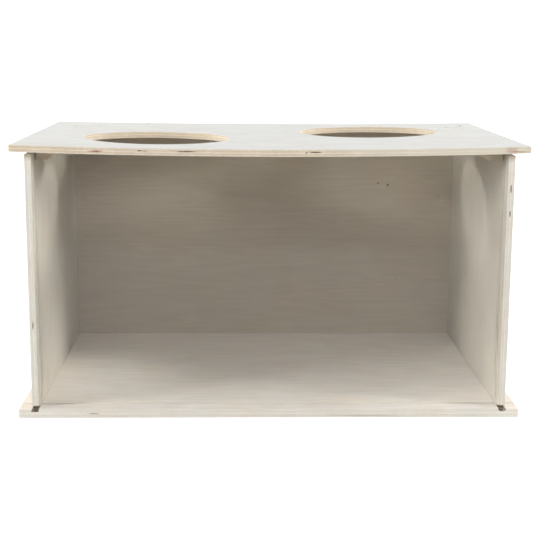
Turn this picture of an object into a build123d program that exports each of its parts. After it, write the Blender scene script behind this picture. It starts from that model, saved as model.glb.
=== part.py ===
# Digging box for small animals: a flat-pack box of pale plywood with a clear front and a loose lid.
# +Z is up, +X to the right as seen from the clear front, +Y towards the back. The origin is on the ground,
# under the middle of the whole box, and every length is in millimetres.
from build123d import *
import os

# The boards
board_width = 580.0  # base and lid, left to right
board_depth = 380.0  # base and lid, front to back
base_thickness = 10.0
wall_thickness = 8.0  # side panels and back panel
lid_thickness = 8.0
pane_thickness = 3.0
wall_height = 293.0  # back panel and pane above the base
board_edge_round = 0.6  # sanded edges of every board
pane_edge_round = 0.3

# Where the walls stand on the base
side_inset = 15.0  # base's end to a side panel's outer face
side_setback = 5.0  # base's front and rear edges to a side panel's edges
pane_lip = 16.0  # side panel's front edge to the pane's groove
back_lip = 7.0  # side panel's rear edge to the back panel's groove

# Grooves and their play
base_groove_depth = 3.0
side_groove_depth = 3.0
board_play = 0.2  # on each face of a board in its groove
pane_play = 0.3  # on each face and edge of the pane in its groove

# The foot of each side panel is cut away at its ends, clear of the base
foot_relief_length = 6.0
foot_relief_height = 3.0  # above the base's top

# The lid lies loose, a little forward, and its ends have curled up
lid_forward = 4.0
lid_gap = 0.3  # lid's middle to the tops of the back panel and the pane
lid_side_gap = 0.8  # lid to the side panels, whose tops reach higher, at their rear ends
lid_curl_front = 4.6  # rise of the front corners above the middle of the front edge
lid_curl_back = 2.4

# The entry holes, from the lid's middle
entry_diameter = 176.0
left_entry_x = -136.0
right_entry_x = 132.0
entry_offset = 50.0  # left hole forward of the middle, right hole behind it

# Battens under the lid that keep it from sliding
cleat_width = 14.0
cleat_height = 11.0
cleat_side_play = 1.0  # to the side panel
cleat_end_play = 12.0  # to the pane and to the back panel, with the lid centred
cleat_seat = 0.1  # between the batten and the lid

# Screws
screw_diameter = 3.0
screw_head_diameter = 6.0
screw_head_recess = 0.3
screw_play = 0.1  # round the shank and under the head
drill_lead = 1.0  # each bore is cut from this far below the surface that it enters
screw_point_length = 3.0
screw_slot_width = 0.7
screw_slot_depth = 0.9
screw_slot_length = 3.4
base_screw_length = 30.0
cleat_screw_length = 15.0
side_screw_margin = 50.0  # side panel's ends to its first and last screws
back_screw_margin = 80.0  # back panel's ends to its first and last screws
cleat_screw_margin = 40.0  # batten's ends to its first and last screws
screws_per_row = 3

# Worked out from the above
base_front = (lid_forward - board_depth) / 2
base_back = base_front + board_depth
base_middle = (base_front + base_back) / 2
lid_front = base_front - lid_forward
lid_back = lid_front + board_depth
lid_middle = (lid_front + lid_back) / 2
wall_top = base_thickness + wall_height
groove_floor = base_thickness - base_groove_depth
wall_full_height = wall_top - groove_floor
side_outer = board_width / 2 - side_inset
side_inner = side_outer - wall_thickness
side_middle = (side_outer + side_inner) / 2
side_front = base_front + side_setback
side_back = base_back - side_setback
side_depth = side_back - side_front
pane_front = side_front + pane_lip + pane_play
pane_back = pane_front + pane_thickness
pane_middle = (pane_front + pane_back) / 2
back_outer = side_back - back_lip - board_play
back_inner = back_outer - wall_thickness
back_middle = (back_outer + back_inner) / 2
lid_seat = wall_top + lid_gap
cleat_outer = side_inner - cleat_side_play
cleat_inner = cleat_outer - cleat_width
cleat_middle = (cleat_outer + cleat_inner) / 2
cleat_front = pane_back + cleat_end_play - lid_forward
cleat_back = back_inner - cleat_end_play - lid_forward


def lid_underside(x, y):
    """Height of the lid's underside at a point: curled from side to side, most at the front."""
    share = (y - lid_front) / board_depth
    curl = lid_curl_front + (lid_curl_back - lid_curl_front) * share
    return lid_seat + curl * (2 * x / board_width) ** 2


side_top = lid_underside(side_inner, side_back) - lid_side_gap
side_full_height = side_top - groove_floor


def cleat_underside(y):
    """Height of a batten's underside, which follows the lid from front to back."""
    return lid_underside(cleat_inner, y) - cleat_seat - cleat_height


def spread(first, last):
    """Places for one row of screws, evenly spaced from the first to the last."""
    step = (last - first) / (screws_per_row - 1)
    return [first + step * number for number in range(screws_per_row)]


# Where the screws stand: the point under each head
side_screw_rows = spread(side_front + side_screw_margin, side_back - side_screw_margin)
back_screw_rows = spread(back_screw_margin - side_inner, side_inner - back_screw_margin)
cleat_screw_rows = spread(cleat_front + cleat_screw_margin, cleat_back - cleat_screw_margin)
left_screw_points = [(-side_middle, y, 0) for y in side_screw_rows]
right_screw_points = [(side_middle, y, 0) for y in side_screw_rows]
back_screw_points = [(x, back_middle, 0) for x in back_screw_rows]
base_screw_points = left_screw_points + right_screw_points + back_screw_points


def upwards(points):
    """Drilling places under the points, for bores that are cut from below."""
    return [Location((x, y, z - drill_lead), (180, 0, 0)) for x, y, z in points]


def bore_depth(length):
    """Depth of the bore for a screw of this length, from where the drill starts."""
    return drill_lead + screw_head_recess + length + screw_play


def countersink(length):
    """Cut bores for screws of this length at the current places, with room for sunk heads."""
    CounterSinkHole(
        radius=screw_diameter / 2 + screw_play,
        counter_sink_radius=screw_head_diameter / 2 + screw_head_recess + screw_play + drill_lead,
        depth=bore_depth(length),
        counter_sink_angle=90,
    )


def pilot(length):
    """Cut the straight part of the same bores in the piece that the screws reach into."""
    Hole(radius=screw_diameter / 2 + screw_play, depth=bore_depth(length))


def build_screw(length):
    """One countersunk wood screw, head down on the ground plane, with its point up."""
    shank = screw_diameter / 2
    head = screw_head_diameter / 2
    bottom = screw_head_recess
    top = bottom + length
    with BuildPart() as screw:
        with BuildSketch(Plane.XZ):
            with BuildLine():
                Polyline(
                    (0, bottom),
                    (head, bottom),
                    (shank, bottom + head - shank),
                    (shank, top - screw_point_length),
                    (0, top),
                    close=True,
                )
            make_face()
        revolve(axis=Axis.Z)
        with BuildSketch(Plane.XY.offset(bottom)):
            Rectangle(screw_slot_length, screw_slot_width)
            Rectangle(screw_slot_width, screw_slot_length)
        extrude(amount=screw_slot_depth, mode=Mode.SUBTRACT)
    return screw.part


# Base board: grooved in its top for the walls and the pane, each groove open at its ends
with BuildPart() as base_board:
    with BuildSketch():
        with Locations((0, base_middle)):
            Rectangle(board_width, board_depth)
    extrude(amount=base_thickness)
    fillet(base_board.edges(), board_edge_round)
    with BuildSketch(Plane.XY.offset(base_thickness)):
        with Locations((-side_middle, base_middle), (side_middle, base_middle)):
            Rectangle(wall_thickness + 2 * board_play, board_depth)
        with Locations((0, pane_middle)):
            Rectangle(board_width, pane_thickness + 2 * pane_play)
        with Locations((0, back_middle)):
            Rectangle(board_width, wall_thickness + 2 * board_play)
    extrude(amount=-base_groove_depth, mode=Mode.SUBTRACT)
    with Locations(upwards(base_screw_points)):
        countersink(base_screw_length)


def build_side_panel(side, screw_points):
    """A side panel, on the left for -1 and on the right for 1, with its grooves on the inner face."""
    with BuildPart() as panel:
        with BuildSketch(Plane.XY.offset(groove_floor)):
            with Locations((side * side_middle, (side_front + side_back) / 2)):
                Rectangle(wall_thickness, side_depth)
        extrude(amount=side_full_height)
        fillet(panel.edges(), board_edge_round)
        with BuildSketch(Plane.XY.offset(groove_floor)):
            with Locations((side * (side_inner + side_groove_depth / 2), pane_middle)):
                Rectangle(side_groove_depth, pane_thickness + 2 * pane_play)
            with Locations((side * (side_inner + side_groove_depth / 2), back_middle)):
                Rectangle(side_groove_depth, wall_thickness + 2 * board_play)
        extrude(amount=side_full_height, mode=Mode.SUBTRACT)
        with BuildSketch(Plane.XY.offset(groove_floor)):
            for y in (side_front + foot_relief_length / 2, side_back - foot_relief_length / 2):
                with Locations((side * side_middle, y)):
                    Rectangle(wall_thickness, foot_relief_length)
        extrude(amount=base_groove_depth + foot_relief_height, mode=Mode.SUBTRACT)
        with Locations(upwards(screw_points)):
            pilot(base_screw_length)
    return panel.part


left_side_panel = build_side_panel(-1, left_screw_points)
right_side_panel = build_side_panel(1, right_screw_points)

# Back panel: held in the side panels' grooves and the base's
with BuildPart() as back_panel:
    with BuildSketch(Plane.XY.offset(groove_floor)):
        with Locations((0, back_middle)):
            Rectangle(2 * (side_inner + side_groove_depth - board_play), wall_thickness)
    extrude(amount=wall_full_height)
    fillet(back_panel.edges(), board_edge_round)
    with Locations(upwards(back_screw_points)):
        pilot(base_screw_length)

# Front pane: clear sheet dropped into the same kind of grooves
with BuildPart() as front_pane:
    with BuildSketch(Plane.XY.offset(groove_floor)):
        with Locations((0, pane_middle)):
            Rectangle(2 * (side_inner + side_groove_depth - pane_play), pane_thickness)
    extrude(amount=wall_full_height)
    fillet(front_pane.edges(), pane_edge_round)


def lid_section(y):
    """The lid's section across its width at one depth: two like parabolas, one board thickness apart."""
    end = board_width / 2
    tip = lid_underside(end, y)
    pull = 2 * lid_underside(0, y) - tip  # a parabola's control point lies twice as low as its lowest point
    with BuildSketch(Plane.XZ.offset(-y)) as section:
        with BuildLine():
            Bezier((-end, tip), (0, pull), (end, tip))
            Line((end, tip), (end, tip + lid_thickness))
            Bezier((end, tip + lid_thickness), (0, pull + lid_thickness), (-end, tip + lid_thickness))
            Line((-end, tip + lid_thickness), (-end, tip))
        make_face()
    return section.sketch


def cleat_screw_points(side):
    """The point under each screw head of one batten."""
    return [(side * cleat_middle, y, cleat_underside(y)) for y in cleat_screw_rows]


# Lid board: curled across its width, with two round entry holes
lid_sections = [lid_section(lid_front), lid_section(lid_back)]
with BuildPart() as lid_board:
    loft(lid_sections, ruled=True)
    with BuildSketch(Plane.XY.offset(wall_top)):
        with Locations((left_entry_x, lid_middle - entry_offset), (right_entry_x, lid_middle + entry_offset)):
            Circle(entry_diameter / 2)
    extrude(amount=lid_gap + lid_curl_front + lid_curl_back + 2 * lid_thickness, mode=Mode.SUBTRACT)
    fillet(lid_board.edges().filter_by(lambda edge: edge.length > entry_diameter), board_edge_round)
    for x, y, z in cleat_screw_points(-1) + cleat_screw_points(1):
        with BuildSketch(Plane.XY.offset(z - drill_lead)):
            with Locations((x, y)):
                Circle(screw_diameter / 2 + screw_play)
        extrude(amount=bore_depth(cleat_screw_length), mode=Mode.SUBTRACT)


def cleat_section(side, y):
    """A batten's square section at one depth, its inner edge against the lid's underside."""
    with BuildSketch(Plane.XZ.offset(-y)) as section:
        with Locations((side * cleat_middle, cleat_underside(y) + cleat_height / 2)):
            Rectangle(cleat_width, cleat_height)
    return section.sketch


def build_cleat(side):
    """A batten under the lid, just inside one side panel."""
    sections = [cleat_section(side, cleat_front), cleat_section(side, cleat_back)]
    with BuildPart() as cleat:
        loft(sections, ruled=True)
        fillet(cleat.edges(), board_edge_round)
        with Locations(upwards(cleat_screw_points(side))):
            countersink(cleat_screw_length)
    return cleat.part


left_lid_cleat = build_cleat(-1)
right_lid_cleat = build_cleat(1)

# Screws up through the base into the side panels and the back panel
with BuildPart() as base_screws:
    with Locations(base_screw_points):
        add(build_screw(base_screw_length))

# Screws up through the battens into the lid
with BuildPart() as cleat_screws:
    with Locations(cleat_screw_points(-1) + cleat_screw_points(1)):
        add(build_screw(cleat_screw_length))

pieces = {
    "base_board": base_board.part,
    "left_side_panel": left_side_panel,
    "right_side_panel": right_side_panel,
    "back_panel": back_panel.part,
    "front_pane": front_pane.part,
    "lid_board": lid_board.part,
    "left_lid_cleat": left_lid_cleat,
    "right_lid_cleat": right_lid_cleat,
    "base_screws": base_screws.part,
    "cleat_screws": cleat_screws.part,
}

os.makedirs("parts", exist_ok=True)
for name, piece in pieces.items():
    piece.label = name
    export_step(piece, f"parts/{name}.step")
    print(f"{name}: {piece.volume / 1000:.1f} cm3")
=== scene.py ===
# %% [markdown]
# # A plywood digging box with a clear front
#
# The real object is a flat-pack box for small pets. Its base, sides, back and lid are pale plywood, its
# front is a clear acrylic sheet that stands in grooves, and two softwood cleats under the lid keep it in
# place. The CAD frame holds every board at its real size, so this script adds what a joiner's hand and eye
# would see: the layers of the plywood, its grain and small flaws, the clear sheet, planed softwood and
# zinc-plated screws. Every length is in metres in the frame. Finishes are easier to think of in
# millimetres, so `MM` turns one into the other.

import functools
import math
import random

import bmesh
import bpy
from mathutils import Matrix, Vector


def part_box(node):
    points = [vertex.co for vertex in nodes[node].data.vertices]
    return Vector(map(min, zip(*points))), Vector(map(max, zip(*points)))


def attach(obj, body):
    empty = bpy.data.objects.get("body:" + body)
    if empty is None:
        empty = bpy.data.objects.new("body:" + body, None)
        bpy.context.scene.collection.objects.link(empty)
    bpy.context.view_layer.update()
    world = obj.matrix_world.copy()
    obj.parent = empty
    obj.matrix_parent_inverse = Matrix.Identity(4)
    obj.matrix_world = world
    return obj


MM = 0.001
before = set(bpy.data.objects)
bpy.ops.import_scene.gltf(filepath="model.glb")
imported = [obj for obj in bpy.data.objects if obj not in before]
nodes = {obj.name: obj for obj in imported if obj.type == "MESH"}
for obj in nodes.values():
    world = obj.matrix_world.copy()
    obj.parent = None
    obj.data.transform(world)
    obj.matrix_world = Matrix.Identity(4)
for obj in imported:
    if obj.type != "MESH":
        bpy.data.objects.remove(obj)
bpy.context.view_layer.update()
print("nodes:", sorted(nodes))

# %% [markdown]
# ## The camera
#
# The photograph was taken from in front, a little above the lid, with a long lens: the side panels lean in
# only slightly and the lid's top shows as a narrow band. A camera could be placed by eye, but the corners
# of a box of known size say exactly where it stood, so its place, its three angles and its lens come from
# fitting the corners of this box to the picture.

# %% Camera
CAMERA_PLACE = Vector((-0.0337, -1.5222, 0.4403))
PITCH_DOWN = math.radians(11.256)
TURN_RIGHT = math.radians(1.422)
ROLL = math.radians(0.329)
LENS = 80.07
SENSOR = 36.0
BOX_MIDDLE = Vector((0, 0, 0.15))

scene = bpy.context.scene
camera_data = bpy.data.cameras.new("camera")
camera_data.lens = LENS
camera_data.sensor_width = SENSOR
camera_data.clip_start = 0.05
camera_data.clip_end = 60.0
camera = bpy.data.objects.new("camera", camera_data)
camera.matrix_world = (
    Matrix.Translation(CAMERA_PLACE)
    @ Matrix.Rotation(-TURN_RIGHT, 4, "Z")
    @ Matrix.Rotation(math.radians(90) - PITCH_DOWN, 4, "X")
    @ Matrix.Rotation(ROLL, 4, "Z")
)
scene.collection.objects.link(camera)
scene.camera = camera
scene.view_settings.view_transform = "Standard"
print("camera stands", round((CAMERA_PLACE - BOX_MIDDLE).length, 2), "m from the box")

# %% [markdown]
# ## Writing shader nodes so that they read like a sentence
#
# Every finish below is a handful of formulas on the surface point. Nodes can be dragged together by hand,
# but in a script each one would take three lines, so a small helper adds a node, feeds it numbers or other
# nodes, and hands back its result.

# %% Wiring helper
SOCKETS = {"value": "NodeSocketFloat", "vector": "NodeSocketVector", "colour": "NodeSocketColor"}


class Wiring:
    """Adds shader nodes to one node tree and links them."""

    def __init__(self, tree):
        self.tree = tree

    def feed(self, socket, value):
        """Links value if it is another node's socket, and otherwise writes it on this one."""
        if isinstance(value, bpy.types.NodeSocket):
            self.tree.links.new(value, socket)
        else:
            socket.default_value = value

    def fill(self, made, inputs):
        """Feeds the inputs of a node, each given by its name or its number."""
        for name, value in inputs.items():
            self.feed(made.inputs[name], value)

    def node(self, kind, inputs=None, **settings):
        made = self.tree.nodes.new(kind)
        for name, value in settings.items():
            setattr(made, name, value)
        self.fill(made, inputs or {})
        return made

    def math(self, operation, *values):
        return self.node("ShaderNodeMath", dict(enumerate(values)), operation=operation).outputs[0]

    def vector(self, operation, *values):
        outputs = self.node("ShaderNodeVectorMath", dict(enumerate(values)), operation=operation).outputs
        return outputs["Value" if operation in ("DOT_PRODUCT", "LENGTH") else "Vector"]

    def scale(self, vector, factor):
        return self.node("ShaderNodeVectorMath", {0: vector, "Scale": factor}, operation="SCALE").outputs[0]

    def combine(self, x, y, z):
        return self.node("ShaderNodeCombineXYZ", {"X": x, "Y": y, "Z": z}).outputs[0]

    def separate(self, vector):
        return self.node("ShaderNodeSeparateXYZ", {"Vector": vector}).outputs

    def less(self, value, taken):
        return self.math("SUBTRACT", value, taken)

    def over(self, value, divisor):
        return self.math("DIVIDE", value, divisor)

    def total(self, *values):
        return functools.reduce(lambda first, second: self.math("ADD", first, second), values)

    def product(self, *values):
        return functools.reduce(lambda first, second: self.math("MULTIPLY", first, second), values)

    def noise(self, vector, detail=2.0, size=1.0):
        """Soft random values around 0.5, whose spots are about size across."""
        inputs = {"Vector": vector, "Scale": 1 / size, "Detail": detail}
        return self.node("ShaderNodeTexNoise", inputs).outputs[0]

    def swing(self, value, share):
        """A random value around 0.5 as a swing of plus or minus share around 0."""
        return self.product(self.less(value, 0.5), 2 * share)

    def step(self, value, low, high):
        """0 below low, 1 above high and a soft rise between them."""
        inputs = {"Value": value, "From Min": low, "From Max": high}
        return self.node("ShaderNodeMapRange", inputs, interpolation_type="SMOOTHSTEP").outputs[0]

    def between(self, share, first, second):
        """The first value where share is 0, and the second where it is 1."""
        return self.node("ShaderNodeMix", {0: share, 2: first, 3: second}).outputs[0]

    def mix(self, share, first, second):
        """The first colour or vector where share is 0, and the second where it is 1."""
        return self.node("ShaderNodeMix", {0: share, 6: first, 7: second}, data_type="RGBA").outputs[2]

    def in_millimetres(self):
        """The surface point in the piece's own coordinates, so that a finish stays with a moving piece."""
        return self.scale(self.node("ShaderNodeTexCoord").outputs["Object"], 1 / MM)

    def bump(self, height, distance, strength=1.0):
        """The normal of a surface with a relief: its height, the length of one unit of it, and its share."""
        inputs = {"Height": height, "Distance": distance, "Strength": strength}
        return self.node("ShaderNodeBump", inputs).outputs[0]


print("short ways to add a node:", ", ".join(name for name in vars(Wiring) if name[0] != "_"))


# %% Groups, colours and materials
def start_group(name, inputs, outputs):
    """An empty shader group with named sockets: its wiring, its inputs by name, and its end node."""
    tree = bpy.data.node_groups.new(name, "ShaderNodeTree")
    for label, (kind, usual) in inputs.items():
        socket = tree.interface.new_socket(label, in_out="INPUT", socket_type=SOCKETS[kind])
        socket.default_value = usual
    for label, kind in outputs.items():
        tree.interface.new_socket(label, in_out="OUTPUT", socket_type=SOCKETS[kind])
    wiring = Wiring(tree)
    given = wiring.node("NodeGroupInput").outputs
    return wiring, {label: given[label] for label in inputs}, wiring.node("NodeGroupOutput").inputs


def close_group(wiring):
    """Says how large a finished group is, and hands its node tree back."""
    print("group", wiring.tree.name, "has", len(wiring.tree.nodes), "nodes")
    return wiring.tree


def place_group(wiring, group, **inputs):
    """Places a shader group in a material. An input's name is its socket's with _ for each space."""
    named = {name.replace("_", " "): value for name, value in inputs.items()}
    return wiring.node("ShaderNodeGroup", named, node_tree=group).outputs


def paint(red, green, blue):
    """A colour given as a paint swatch in screen values from 0 to 255, as shaders take it."""
    def linear(value):
        share = value / 255
        return share / 12.92 if share <= 0.04045 else ((share + 0.055) / 1.055) ** 2.4

    return (linear(red), linear(green), linear(blue), 1.0)


def wire_afresh(holder):
    """Empties the node tree of a material or a world, and hands back its wiring."""
    holder.use_nodes = True
    holder.node_tree.nodes.clear()
    return Wiring(holder.node_tree)


def new_material(name):
    """A material with one Principled BSDF: the material, its wiring and that shader."""
    material = bpy.data.materials.new(name)
    wiring = wire_afresh(material)
    shader = wiring.node("ShaderNodeBsdfPrincipled")
    wiring.node("ShaderNodeOutputMaterial", {"Surface": shader.outputs[0]})
    return material, wiring, shader


print("a swatch of 128 is", round(paint(128, 128, 128)[0], 3), "to a shader")

# %% [markdown]
# ## The studio
#
# The photograph is a shop picture, white all round, and the light on the inner faces tells where the lamps
# stood. High on each side panel lies the bright shape of a round entry, thrown by a lamp behind and above
# the far side of the box. Below it the panel is bright as far back as a sharp upright shadow, that of the
# other panel's front edge, while the lid's shadow above is soft. So a lamp taller than it is wide stands
# far out on each side, low and a little in front. These two do most of the work. A weak one above the
# camera fills in the front edges, so steeply that the lid keeps most of it off the back panel. Two more
# weak lamps, far behind and hardly higher than the lid, only keep the outside of the back panel from going
# grey.
#
# A white card at full brightness would flood the wood, so the whiteness of the background is given only to
# rays that the camera or the clear sheet sends out. What a gloss or the clear sheet mirrors is darker. In
# the photograph a weak haze lies over the sheet's lower part alone, since the white paper on the floor ends
# about a metre in front of the box. So only the floor nearer than that shows in the sheet. The light on the
# wood stays at a level of about 1, at which a colour looks as it is written. A lamp's power follows from
# the level wanted on a card that faces it: level x (pi x distance) squared.
#
# The clear sheet needs care. Further down its finish lets the lamps' own rays straight through, so what a
# ray that has already left the wood meets behind the sheet, sky or lamp, would count a second time. Such a
# ray has a diffuse depth above zero, and for it the sky is black and the lamps are out of sight.

# %% Sky
AMBIENT_LEVEL = 0.18
SKY_IN_GLOSS = 0.45
WHITE = (1, 1, 1, 1)


def seen_directly(wiring, gloss_share):
    """1 for rays from the camera or through clear sheet, less once mirrored, and 0 for light on things."""
    path = wiring.node("ShaderNodeLightPath").outputs
    seen = wiring.math("MAXIMUM", path["Is Camera Ray"], path["Is Transmission Ray"])
    shown = wiring.math("MAXIMUM", seen, path["Is Glossy Ray"])
    mirrored = wiring.math("GREATER_THAN", path["Glossy Depth"], 0.5)
    before_wood = wiring.math("LESS_THAN", path["Diffuse Depth"], 0.5)
    return wiring.product(shown, wiring.between(mirrored, 1.0, gloss_share), before_wood)


def not_counted_yet(wiring):
    """0 for a ray that left the wood and went through clear sheet, and 1 for every other ray."""
    path = wiring.node("ShaderNodeLightPath").outputs
    left_wood = wiring.math("GREATER_THAN", path["Diffuse Depth"], 0.5)
    return wiring.less(1.0, wiring.product(path["Is Transmission Ray"], left_wood))


world = bpy.data.worlds.new("studio")
scene.world = world
sky = wire_afresh(world)
sky_level = sky.between(seen_directly(sky, SKY_IN_GLOSS), AMBIENT_LEVEL, 1.0)
sky_level = sky.product(sky_level, not_counted_yet(sky))
sky_light = sky.node("ShaderNodeBackground", {"Color": WHITE, "Strength": sky_level})
sky.node("ShaderNodeOutputWorld", {"Surface": sky_light.outputs[0]})
print("the sky has", len(sky.tree.nodes), "nodes")

# %% Floor
FLOOR_IN_GLOSS = 0.35
FLOOR_HALF = 30.0
FLOOR_CARD = (0.62, 0.62, 0.62, 1)
NEAR_GLOW = 0.62
GLOW_RISES_FROM = 0.5
GLOW_RISES_TO = 3.0
PAPER_END = -1.25
PAPER_BLUR = 0.1
floor_mesh = bpy.data.meshes.new("floor")
corners = [(x * FLOOR_HALF, y * FLOOR_HALF, 0) for x, y in ((-1, -1), (1, -1), (1, 1), (-1, 1))]
floor_mesh.from_pydata(corners, [], [(0, 1, 2, 3)])
floor = bpy.data.objects.new("floor", floor_mesh)
scene.collection.objects.link(floor)
floor_material = bpy.data.materials.new("white_floor")
card = wire_afresh(floor_material)
matt = card.node("ShaderNodeBsdfDiffuse", {"Color": FLOOR_CARD})
on_floor = card.node("ShaderNodeTexCoord").outputs["Object"]
from_box = card.vector("LENGTH", on_floor)
white_gain = card.total(NEAR_GLOW, card.step(from_box, GLOW_RISES_FROM, GLOW_RISES_TO))
_, toward_back, _ = card.separate(on_floor)
on_paper = card.step(toward_back, PAPER_END - PAPER_BLUR, PAPER_END + PAPER_BLUR)
seen = seen_directly(card, card.product(on_paper, FLOOR_IN_GLOSS))
glow = card.node("ShaderNodeEmission", {"Color": WHITE, "Strength": card.product(seen, white_gain)})
both = card.node("ShaderNodeAddShader", {0: matt.outputs[0], 1: glow.outputs[0]})
card.node("ShaderNodeOutputMaterial", {"Surface": both.outputs[0]})
floor_mesh.materials.append(floor_material)
print("the floor is", 2 * FLOOR_HALF, "m wide")


# %% Lamps
def softbox(name, place, width, height, level):
    """A rectangular lamp, turned to the box's middle, that puts the level on a card there."""
    light = bpy.data.lights.new(name, "AREA")
    light.shape = "RECTANGLE"
    light.size = width
    light.size_y = height
    way = BOX_MIDDLE - Vector(place)
    light.energy = level * (math.pi * way.length) ** 2
    lamp = bpy.data.objects.new(name, light)
    lamp.location = place
    lamp.rotation_mode = "QUATERNION"
    lamp.rotation_quaternion = way.to_track_quat("-Z", "Y")
    lamp.visible_transmission = False
    scene.collection.objects.link(lamp)
    print(name, "power", round(light.energy, 1), "W")


softbox("right_rear_softbox", (1.45, 0.45, 1.35), 0.3, 0.3, 0.37)
softbox("left_rear_softbox", (-1.45, 0.52, 1.37), 0.3, 0.3, 0.37)
softbox("right_side_softbox", (2.42, -0.95, 0.78), 0.4, 0.8, 0.6)
softbox("left_side_softbox", (-2.34, -1.13, 0.78), 0.4, 0.8, 0.6)
softbox("front_softbox", (-0.1, -2.1, 1.5), 1.2, 0.6, 0.14)
softbox("right_low_softbox", (2.3, 2.1, 0.45), 1.2, 0.4, 0.18)
softbox("left_low_softbox", (-2.3, 2.1, 0.45), 1.2, 0.4, 0.18)

# %% [markdown]
# ## Where in the board a point lies
#
# Plywood shows different wood on its face, its edge and in a groove, because each cut runs through the same
# stack of layers. So the finish needs to know how deep in the board a point lies. For a flat board that is
# the distance from one face. The lid is dished, its corners stand higher than its middle, and its layers
# follow that bend, so its depth is measured from the bent underside. Both are worked out from the object's
# own coordinates, so the layers stay in the wood when a piece moves.


# %% Depth inside a board
def start_depth_group(name, inputs):
    """A group that hands on the surface point and its normal, and to which the depth is still to be fed."""
    outputs = {"Depth": "value", "Position": "vector", "Normal": "vector"}
    wiring, given, result = start_group(name, inputs, outputs)
    position = wiring.in_millimetres()
    wiring.feed(result["Position"], position)
    wiring.feed(result["Normal"], wiring.node("ShaderNodeTexCoord").outputs["Normal"])
    return wiring, given, position, result["Depth"]


flat, given, position, depth = start_depth_group(
    "Depth in flat board", {"Face": ("value", 0.0), "Axis": ("vector", (0, 0, 1))})
flat.feed(depth, flat.less(flat.vector("DOT_PRODUCT", position, given["Axis"]), given["Face"]))
FLAT_DEPTH = close_group(flat)

dished, given, position, depth = start_depth_group("Depth in dished lid", {
    "Seat": ("value", 303.0), "Half Width": ("value", 290.0), "Front": ("value", -190.0),
    "Back": ("value", 190.0), "Front Rise": ("value", 4.0), "Back Rise": ("value", 2.0),
})
x, y, z = dished.separate(position)
behind = dished.over(dished.less(y, given["Front"]), dished.less(given["Back"], given["Front"]))
gain = dished.product(behind, dished.less(given["Back Rise"], given["Front Rise"]))
rise = dished.total(given["Front Rise"], gain)
outward = dished.math("POWER", dished.math("ABSOLUTE", dished.over(x, given["Half Width"])), 2.0)
underside = dished.total(given["Seat"], dished.product(rise, outward))
dished.feed(depth, dished.less(z, underside))
DISHED_DEPTH = close_group(dished)

# %% [markdown]
# ## Plywood
#
# A sheet of plywood is an odd number of peeled veneers, glued with their grain turned by a right angle from
# one to the next. A picture of wood on each face would need a different picture for every edge, groove and
# hole. A solid finish needs none: it finds the layer a point is in, the way that layer's grain runs, and
# stretches its noise along it. Where the cut goes along the grain it shows pale streaks, where it goes
# across it shows darker end grain, and the outer faces are sanded and bleached. The same rule colours the
# faces, the edges, the groove walls and the round entries.
#
# The thin dark lines between the layers are glue. They wander a little, as the veneers do. The saw leaves
# faint marks across every edge, so a noise that doesn't change through the board lies over the edges only.
# Short darker flecks lie in the grain, and broad patches of the wood are a little warmer than the rest.

# %% Plywood group: layers and grain
ply, given, result = start_group(
    "Plywood",
    {
        "Position": ("vector", (0, 0, 0)), "Depth": ("value", 0.0), "Normal": ("vector", (0, 0, 1)),
        "Thickness": ("value", 8.0), "Layers": ("value", 5.0), "Through": ("vector", (0, 0, 1)),
        "Grain": ("vector", (1, 0, 0)), "Cross": ("vector", (0, 1, 0)),
        "Face Colour": ("colour", (0.8, 0.8, 0.8, 1)), "Long Grain": ("colour", (0.7, 0.7, 0.6, 1)),
        "End Grain": ("colour", (0.6, 0.5, 0.4, 1)), "Glue": ("colour", (0.4, 0.3, 0.2, 1)),
        "Streaks": ("value", 0.05), "Figure": ("value", 0.03), "Mottle": ("value", 0.03),
        "Glue Share": ("value", 0.5), "Warmth": ("value", 0.3), "Flecks": ("value", 0.05),
    },
    {"Color": "colour", "Height": "value", "Roughness": "value", "Skin": "value"},
)
position = given["Position"]
layer_thickness = ply.over(given["Thickness"], given["Layers"])
wander = ply.swing(ply.noise(position, detail=2, size=14), 0.55)
level = ply.total(given["Depth"], wander)
stack = ply.over(level, layer_thickness)
last_layer = ply.less(given["Layers"], 1.0)
layer = ply.math("MINIMUM", ply.math("MAXIMUM", ply.math("FLOOR", stack), 0.0), last_layer)
crossed = ply.math("MODULO", layer, 2.0)
grain = ply.mix(crossed, given["Grain"], given["Cross"])
side = ply.mix(crossed, given["Cross"], given["Grain"])
along = ply.vector("DOT_PRODUCT", position, grain)
across = ply.vector("DOT_PRODUCT", position, side)
end_on = ply.math("ABSOLUTE", ply.vector("DOT_PRODUCT", given["Normal"], grain))
facing = ply.math("ABSOLUTE", ply.vector("DOT_PRODUCT", given["Normal"], given["Through"]))


def veneer_noise(length, width, shift, detail):
    """Noise drawn out along the layer's grain: length by width in millimetres, another one in each layer."""
    deep = ply.total(ply.over(given["Depth"], width), ply.product(layer, shift))
    return ply.noise(ply.combine(ply.over(along, length), ply.over(across, width), deep), detail=detail)


print("the layer and its grain take", len(ply.tree.nodes), "nodes")

# %% Plywood group: colour
streaks = veneer_noise(70.0, 2.6, 7.3, 4.0)
fibres = veneer_noise(9.0, 0.55, 11.1, 2.0)
flecks = ply.step(veneer_noise(13.0, 0.7, 5.3, 1.0), 0.6, 0.74)
contours = ply.math("SINE", ply.product(veneer_noise(300.0, 30.0, 3.7, 2.0), 60.0))
figure = ply.total(ply.product(contours, 0.5), 0.5)
mottle = ply.noise(position, detail=4, size=38)
elsewhere = ply.vector("ADD", position, (500, 300, 100))
warm_patches = ply.step(ply.noise(elsewhere, detail=3, size=55), 0.38, 0.66)
pores = ply.noise(position, detail=3, size=1.1)
through_it = ply.scale(given["Through"], ply.vector("DOT_PRODUCT", position, given["Through"]))
saw_marks = ply.noise(ply.vector("SUBTRACT", position, through_it), detail=2, size=0.9)
random_tone = ply.node("ShaderNodeTexWhiteNoise", {"W": layer}, noise_dimensions="1D").outputs["Value"]

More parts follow.
